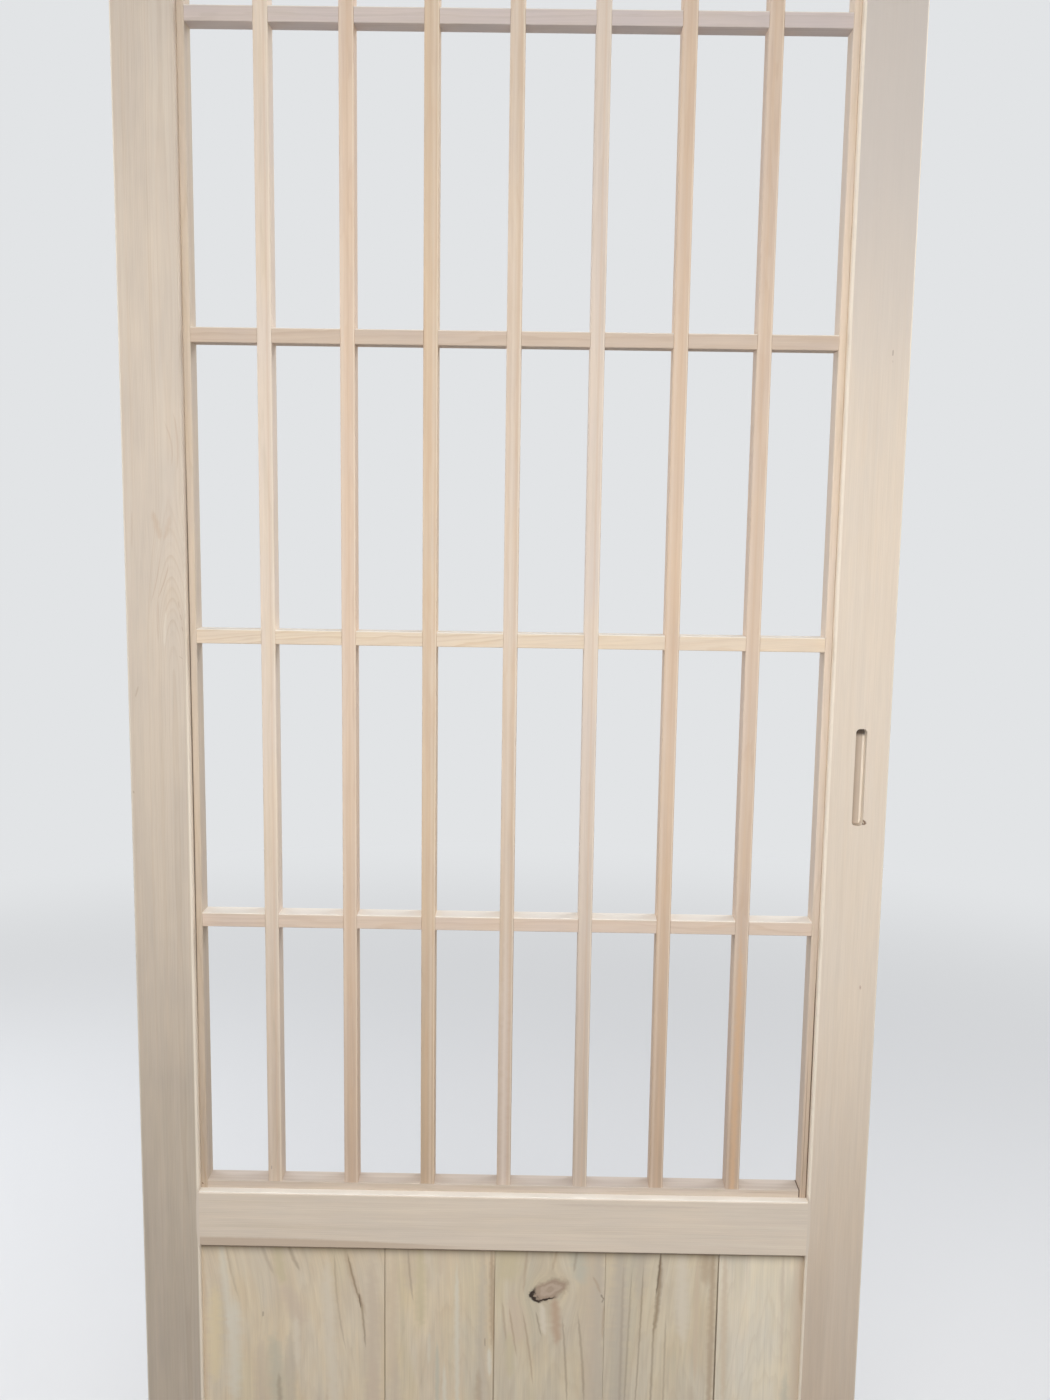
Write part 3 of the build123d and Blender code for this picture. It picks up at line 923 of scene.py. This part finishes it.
panelBoards = [
    board(
        [(0.15, "greyGreen"), (0.4, "greyTan"), (0.6, "cream"), (0.85, "tan")],
        [
            ((-0.3442, 0.400), (-0.3462, 0.150), 0.018, "tan", 0.84),
            ((-0.3306, 0.360), (-0.3334, 0.205), 0.030, "yellow", 0.8),
            ((-0.3090, 0.345), (-0.3110, 0.180), 0.030, "pale", 0.7),
            ((-0.2786, 0.300), (-0.2800, 0.120), 0.028, "greyTan", 0.7),
            ((-0.1500, 0.430), (-0.1480, 0.060), 0.030, "greyTan", 0.8),
            ((-0.2445, 0.310), (-0.2455, 0.110), 0.022, "shadeGrey", 0.5),
            ((-0.3250, 0.420), (-0.3125, 0.270), 0.016, "pale", 0.63),
            ((-0.3200, 0.400), (-0.3038, 0.322), 0.0050, "dark", 0.22, {"bow": 0.002}),
            ((-0.2790, 0.400), (-0.2620, 0.355), 0.0080, "dark", 0.25, {"bow": 0.001}),
            ((-0.2600, 0.405), (-0.2529, 0.340), 0.022, "olive", 0.77),
            ((-0.2490, 0.402), (-0.2325, 0.360), 0.0085, "dark", 0.42, {"bow": 0.002}),
            ((-0.2529, 0.352), (-0.2287, 0.290), 0.036, "pink", 0.7),
            ((-0.2759, 0.3135), (-0.2760, 0.305), 0.0030, "dark", 0.6),
            ((-0.2648, 0.300), (-0.2569, 0.150), 0.034, "greyGreen", 0.84),
            ((-0.2588, 0.242), (-0.2569, 0.170), 0.010, "dark", 0.4),
            ((-0.2377, 0.315), (-0.2360, 0.240), 0.014, "cream", 0.7),
            ((-0.2040, 0.410), (-0.1932, 0.150), 0.024, "cream", 0.7, {"bow": 0.003}),
            ((-0.1975, 0.402), (-0.1815, 0.250), 0.0042, "dark", 0.3, {"bow": 0.005}),
            # the dark pith line, with a fine crack in its middle
            ((-0.1860, 0.405), (-0.1560, 0.300), 0.0120, "brown", 0.40, {"bow": 0.003}),
            ((-0.1800, 0.392), (-0.1634, 0.322), 0.0044, "dark", 0.7, {"bow": 0.001}),
            ((-0.1638, 0.345), (-0.1560, 0.262), 0.0044, "dark", 0.6, {"bow": -0.001}),
            ((-0.1652, 0.340), (-0.1626, 0.316), 0.0026, "darkest", 0.8, {"ragged": 0.8}),
            ((-0.1488, 0.270), (-0.1489, 0.150), 0.022, "pink", 0.7),
            ((-0.1352, 0.430), (-0.1352, 0.060), 0.0016, "dark", 0.75, {"ragged": 0.0}),
        ],
        flow=(0.35, 0.045, boardTop),
    ),
    board(
        [(0.15, "blueGrey"), (0.4, "greyTan"), (0.6, "cream"), (0.85, "olive")],
        [
            ((-0.1250, 0.410), (-0.1270, 0.200), 0.022, "tan", 0.7),
            ((-0.1060, 0.430), (-0.1060, 0.330), 0.030, "greyTan", 0.6),
            ((-0.1230, 0.280), (-0.1230, 0.080), 0.022, "greyTan", 0.7),
            ((-0.0230, 0.430), (-0.0215, 0.060), 0.020, "shadeGrey", 0.5),
            ((-0.1098, 0.400), (-0.1020, 0.320), 0.0046, "dark", 0.35, {"bow": 0.001}),
            ((-0.0938, 0.410), (-0.0935, 0.280), 0.022, "olive", 0.77),
            ((-0.0710, 0.400), (-0.0709, 0.355), 0.011, "tan", 0.7),
            ((-0.0524, 0.400), (-0.0501, 0.150), 0.010, "pale", 0.7),
            ((-0.0743, 0.292), (-0.0739, 0.150), 0.008, "blueGrey", 0.84),
            ((-0.0833, 0.296), (-0.0843, 0.245), 0.007, "pale", 0.45),
            ((-0.0662, 0.262), (-0.0648, 0.150), 0.008, "pale", 0.7),
            ((-0.0125, 0.410), (-0.0099, 0.255), 0.011, "brown", 0.65),
            ((-0.0190, 0.2860), (-0.0188, 0.272), 0.0026, "dark", 0.6),
            ((-0.0144, 0.276), (-0.0130, 0.232), 0.009, "pale", 0.84),
            ((-0.0266, 0.255), (-0.0251, 0.150), 0.014, "brown", 0.4),
            ((-0.0090, 0.430), (-0.0090, 0.060), 0.0022, "dark", 0.8, {"ragged": 0.0}),
        ],
        flow=(0.10, 0.05, boardTop),
    ),
    board(
        [(0.15, "greyGreen"), (0.4, "greyTan"), (0.62, "cream"), (0.88, "olive")],
        [
            ((0.0120, 0.430), (0.0100, 0.345), 0.050, "olive", 0.77),
            ((0.1030, 0.460), (0.1060, 0.160), 0.046, "greyTan", 0.7),
            ((0.0800, 0.430), (0.0930, 0.345), 0.036, "blueGrey", 0.9),
            ((0.0120, 0.345), (0.0200, 0.270), 0.034, "pink", 0.7),
            ((0.1110, 0.460), (0.1140, 0.060), 0.028, "shadeGrey", 0.5),
            ((0.0290, 0.402), (0.0240, 0.335), 0.0060, "brown", 0.4),
            ((0.0636, 0.402), (0.0570, 0.366), 0.0060, "brown", 0.4),
            ((0.0866, 0.405), (0.0818, 0.364), 0.0060, "dark", 0.35),
            ((0.0000, 0.336), (0.0060, 0.275), 0.0050, "brown", 0.45),
            ((0.0073, 0.330), (0.0190, 0.255), 0.0042, "brown", 0.55),
            ((0.0236, 0.330), (0.0400, 0.215), 0.0042, "brown", 0.55, {"bow": -0.002}),
            ((0.0385, 0.322), (0.0470, 0.284), 0.0036, "dark", 0.5),
            ((0.0452, 0.334), (0.0506, 0.284), 0.0130, "cream", 0.9),
            ((0.0600, 0.344), (0.0655, 0.270), 0.0200, "heartShade", 0.9),
            ((0.0700, 0.322), (0.0790, 0.190), 0.0046, "dark", 0.45, {"bow": -0.001}),
            ((0.0880, 0.330), (0.0995, 0.190), 0.0052, "dark", 0.45, {"bow": -0.002}),
            ((0.0090, 0.300), (0.0110, 0.225), 0.018, "olive", 0.63),
            # the swirl of dark flecks at its right edge
            ((0.1040, 0.366), (0.1150, 0.340), 0.0060, "brown", 0.45, {"bow": -0.001}),
            ((0.1140, 0.3420), (0.1176, 0.3350), 0.0044, "darkest", 0.55, {"ragged": 1.5}),
            ((0.1178, 0.3380), (0.1150, 0.3300), 0.0034, "darkest", 0.5, {"ragged": 1.5}),
            ((0.1176, 0.335), (0.1166, 0.280), 0.0044, "brown", 0.5),
        ],
        knot={
            "at": (0.0545, 0.3455), "size": (0.043, 0.022), "turn": 24, "push": 0.020,
            "heart": (196, 176, 158), "heartRing": (182, 160, 142), "heartShow": 0.9,
            "rim": (150, 126, 106), "rimShow": 0.4, "darkEnd": (50, 38, 30),
        },
        colour=(222, 212, 192),
    ),
    board(
        [(0.15, "greyGreen"), (0.4, "greyTan"), (0.62, "cream"), (0.88, "tan")],
        [
            ((0.1350, 0.460), (0.1380, 0.060), 0.034, "shadeGrey", 0.75),
            ((0.1580, 0.460), (0.1580, 0.320), 0.028, "shadeGrey", 0.6),
            ((0.2330, 0.440), (0.2340, 0.345), 0.026, "brown", 0.5),
            ((0.1393, 0.402), (0.1382, 0.150), 0.0060, "dark", 0.25),
            ((0.1494, 0.395), (0.1429, 0.170), 0.0040, "dark", 0.35),
            ((0.1633, 0.400), (0.1560, 0.170), 0.0040, "dark", 0.5, {"bow": -0.001}),
            ((0.1835, 0.404), (0.1765, 0.280), 0.0100, "dark", 0.7, {"bow": -0.002}),
            ((0.1826, 0.402), (0.1775, 0.335), 0.0040, "darkest", 0.7, {"bow": -0.001}),
            ((0.1760, 0.330), (0.1740, 0.170), 0.0046, "dark", 0.5),
            ((0.1896, 0.330), (0.1889, 0.170), 0.0042, "dark", 0.35),
            ((0.2044, 0.420), (0.2102, 0.265), 0.026, "cream", 0.84),
            ((0.2235, 0.410), (0.2254, 0.215), 0.010, "tan", 0.84),
            ((0.2412, 0.430), (0.2430, 0.150), 0.013, "brown", 0.6),
            ((0.2474, 0.430), (0.2474, 0.060), 0.0024, "darkest", 0.8, {"ragged": 0.0}),
        ],
        flow=(-0.16, 0.07, boardTop),
        colour=(224, 214, 194),
    ),
    board(
        [(0.1, "greyGreen"), (0.35, "cream"), (0.6, "pale"), (0.9, "pale")],
        [
            ((0.2545, 0.420), (0.2595, 0.180), 0.013, "tan", 0.7),
            ((0.3212, 0.420), (0.3250, 0.230), 0.0060, "greyTan", 0.5),
            ((0.3300, 0.265), (0.3310, 0.100), 0.020, "blueGrey", 0.6),
            # a darker margin along its right edge, painted shadow of the right stile
            ((0.3405, 0.440), (0.3430, 0.120), 0.026, "greyTan", 0.9, {"ragged": 0.0}),
            ((0.3445, 0.410), (0.3440, 0.320), 0.010, "brown", 0.4, {"ragged": 0.0}),
        ],
        colour=(246, 236, 219),
    ),
]
for index, wood in enumerate(panelBoards):
    dress(f"panel_board_{index + 1}", wood, seed=70.0 + 3.7 * index)
print("panel dressed")
